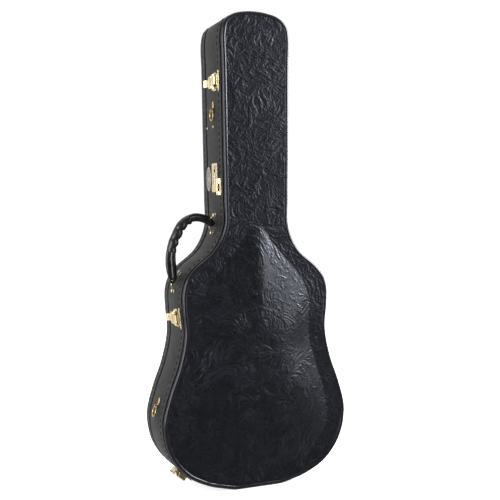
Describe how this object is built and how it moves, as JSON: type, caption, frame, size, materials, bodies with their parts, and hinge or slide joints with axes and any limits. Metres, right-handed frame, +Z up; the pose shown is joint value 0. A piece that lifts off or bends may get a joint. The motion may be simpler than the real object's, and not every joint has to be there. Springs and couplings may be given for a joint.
{
  "type": "guitar case",
  "caption": "Hard-shell guitar case with an arched lid on an oblique hinge line, drawbolt latches, a combination lock, a gathered leather handle and a padded interior.",
  "frame": {"origin": "middle of the flat strip on the bottom edge that the case stands on, half way through the depth of its side walls", "axes": "+Z up along the neck, -Y out of the lid's front, +X towards the hinged side; the handle is on the -X side"},
  "size_m": [0.4713, 0.1675, 1.0895],
  "materials": {
    "crumpled_leatherette": "crumpled black leatherette, semi-gloss creases",
    "side_leatherette": "fine-grained black leatherette, satin",
    "binding": "smooth rolled leatherette with stitching",
    "gold_plate": "bright pale gold plate",
    "antique_gold": "warm gold plate",
    "badge_metal": "pale satin metal",
    "handle_leather": "gathered black leather, glossy on its folds",
    "plush": "short-pile plush over foam",
    "dial": "ivory plastic with marks",
    "steel": "bright drawn steel"
  },
  "bodies": {
    "base": {"base_frame": "side_leatherette", "back_panel": "crumpled_leatherette", "back_binding": "binding", "base_lip": "plush", "side_padding": "plush", "floor_padding": "plush", "neck_cradle": "plush", "accessory_box": "plush", "latch_plate_neck": "gold_plate", "latch_plate_waist": "gold_plate", "latch_plate_lower": "gold_plate", "lock_body": "gold_plate", "lock_dial_axle": "steel", "strap_ring_plate_upper": "antique_gold", "strap_ring_plate_lower": "antique_gold", "handle_post_1": "gold_plate", "handle_post_2": "gold_plate", "handle_post_3": "gold_plate", "handle_post_4": "gold_plate", "handle_loop_upper": "gold_plate", "handle_loop_lower": "gold_plate", "badge": "badge_metal", "side_rivet_front": "antique_gold", "side_rivet_rear": "antique_gold", "hinge_base_leaf_1": "gold_plate", "hinge_base_leaf_2": "gold_plate", "hinge_base_leaf_3": "gold_plate", "hinge_pin_1": "steel", "hinge_pin_2": "steel", "hinge_pin_3": "steel"},
    "lid": {"lid_panel": "crumpled_leatherette", "lid_piping": "binding", "lid_frame": "side_leatherette", "lid_lining": "plush", "latch_keeper_neck": "gold_plate", "latch_keeper_waist": "gold_plate", "latch_keeper_lower": "gold_plate", "hasp_plate": "gold_plate", "hinge_lid_leaf_1": "gold_plate", "hinge_lid_leaf_2": "gold_plate", "hinge_lid_leaf_3": "gold_plate"},
    "latch_lever_neck": {"latch_lever_neck": "gold_plate"},
    "latch_hook_neck": {"latch_hook_neck": "gold_plate"},
    "latch_lever_waist": {"latch_lever_waist": "gold_plate"},
    "latch_hook_waist": {"latch_hook_waist": "gold_plate"},
    "latch_lever_lower": {"latch_lever_lower": "gold_plate"},
    "latch_hook_lower": {"latch_hook_lower": "gold_plate"},
    "hasp_flap": {"hasp_flap": "gold_plate"},
    "lock_slider": {"lock_slider": "gold_plate"},
    "lock_dial_1": {"lock_dial_1": "dial"},
    "lock_dial_2": {"lock_dial_2": "dial"},
    "lock_dial_3": {"lock_dial_3": "dial"},
    "strap_ring_upper": {"strap_ring_upper": "antique_gold"},
    "strap_ring_lower": {"strap_ring_lower": "antique_gold"},
    "handle": {"handle_grip": "handle_leather"},
    "accessory_lid": {"accessory_lid": "plush", "accessory_tab": "binding"}
  },
  "joints": [
    {"name": "lid_hinge", "type": "hinge", "parent": "base", "child": "lid", "pos_m": [0.16942, -0.033, 0.5457], "axis": [-0.1629, 0, 0.9866], "range_deg": [0, 105]},
    {"name": "latch_lever_neck_pivot", "type": "hinge", "parent": "base", "child": "latch_lever_neck", "pos_m": [-0.08799, -0.024, 0.93239], "axis": [-0.0123, 0, 0.9999], "range_deg": [0, 110]},
    {"name": "latch_hook_neck_pivot", "type": "hinge", "parent": "latch_lever_neck", "child": "latch_hook_neck", "pos_m": [-0.09139, -0.019, 0.93235], "axis": [-0.0123, 0, 0.9999], "range_deg": [-130, 0]},
    {"name": "latch_lever_waist_pivot", "type": "hinge", "parent": "base", "child": "latch_lever_waist", "pos_m": [-0.18398, -0.024, 0.3963], "axis": [-0.1199, 0, 0.9928], "range_deg": [0, 110]},
    {"name": "latch_hook_waist_pivot", "type": "hinge", "parent": "latch_lever_waist", "child": "latch_hook_waist", "pos_m": [-0.18735, -0.019, 0.39589], "axis": [-0.1199, 0, 0.9928], "range_deg": [-130, 0]},
    {"name": "latch_lever_lower_pivot", "type": "hinge", "parent": "base", "child": "latch_lever_lower", "pos_m": [-0.17699, -0.024, 0.04033], "axis": [-0.7699, 0, 0.6382], "range_deg": [0, 110]},
    {"name": "latch_hook_lower_pivot", "type": "hinge", "parent": "latch_lever_lower", "child": "latch_hook_lower", "pos_m": [-0.17916, -0.019, 0.03771], "axis": [-0.7699, 0, 0.6382], "range_deg": [-130, 0]},
    {"name": "hasp_flap_hinge", "type": "hinge", "parent": "lid", "child": "hasp_flap", "pos_m": [-0.08386, -0.0344, 0.69091], "axis": [-0.0146, 0, 0.9999], "range_deg": [0, 150]},
    {"name": "lock_slider_slide", "type": "slide", "parent": "base", "child": "lock_slider", "axis": [0.0146, 0, -0.9999], "range_m": [0, 0.006], "stiffness_N_per_m": 80},
    {"name": "lock_dial_1_spin", "type": "hinge", "parent": "base", "child": "lock_dial_1", "pos_m": [-0.07807, -0.015, 0.7191], "axis": [-0.0146, 0, 0.9999], "continuous": true},
    {"name": "lock_dial_2_spin", "type": "hinge", "parent": "base", "child": "lock_dial_2", "pos_m": [-0.07795, -0.015, 0.7108], "axis": [-0.0146, 0, 0.9999], "continuous": true},
    {"name": "lock_dial_3_spin", "type": "hinge", "parent": "base", "child": "lock_dial_3", "pos_m": [-0.07783, -0.015, 0.7025], "axis": [-0.0146, 0, 0.9999], "continuous": true},
    {"name": "strap_ring_upper_swing", "type": "hinge", "parent": "base", "child": "strap_ring_upper", "pos_m": [-0.08722, -0.01, 0.8689], "axis": [0, 1, 0], "range_deg": [0, 150]},
    {"name": "strap_ring_lower_swing", "type": "hinge", "parent": "base", "child": "strap_ring_lower", "pos_m": [-0.22743, -0.01, 0.19732], "axis": [0, 1, 0], "range_deg": [0, 150]},
    {"name": "handle_swing", "type": "hinge", "parent": "base", "child": "handle", "pos_m": [-0.13836, -0.006, 0.54519], "axis": [0.5704, 0, 0.8214], "range_deg": [-75, 75]},
    {"name": "accessory_lid_hinge", "type": "hinge", "parent": "base", "child": "accessory_lid", "pos_m": [0, 0.0021, 0.689], "axis": [-1, 0, 0], "range_deg": [0, 80]}
  ],
  "couplings": [
    {"joint": "latch_hook_neck_pivot", "follows": "latch_lever_neck_pivot", "ratio": -1.18},
    {"joint": "latch_hook_waist_pivot", "follows": "latch_lever_waist_pivot", "ratio": -1.18},
    {"joint": "latch_hook_lower_pivot", "follows": "latch_lever_lower_pivot", "ratio": -1.18}
  ]
}
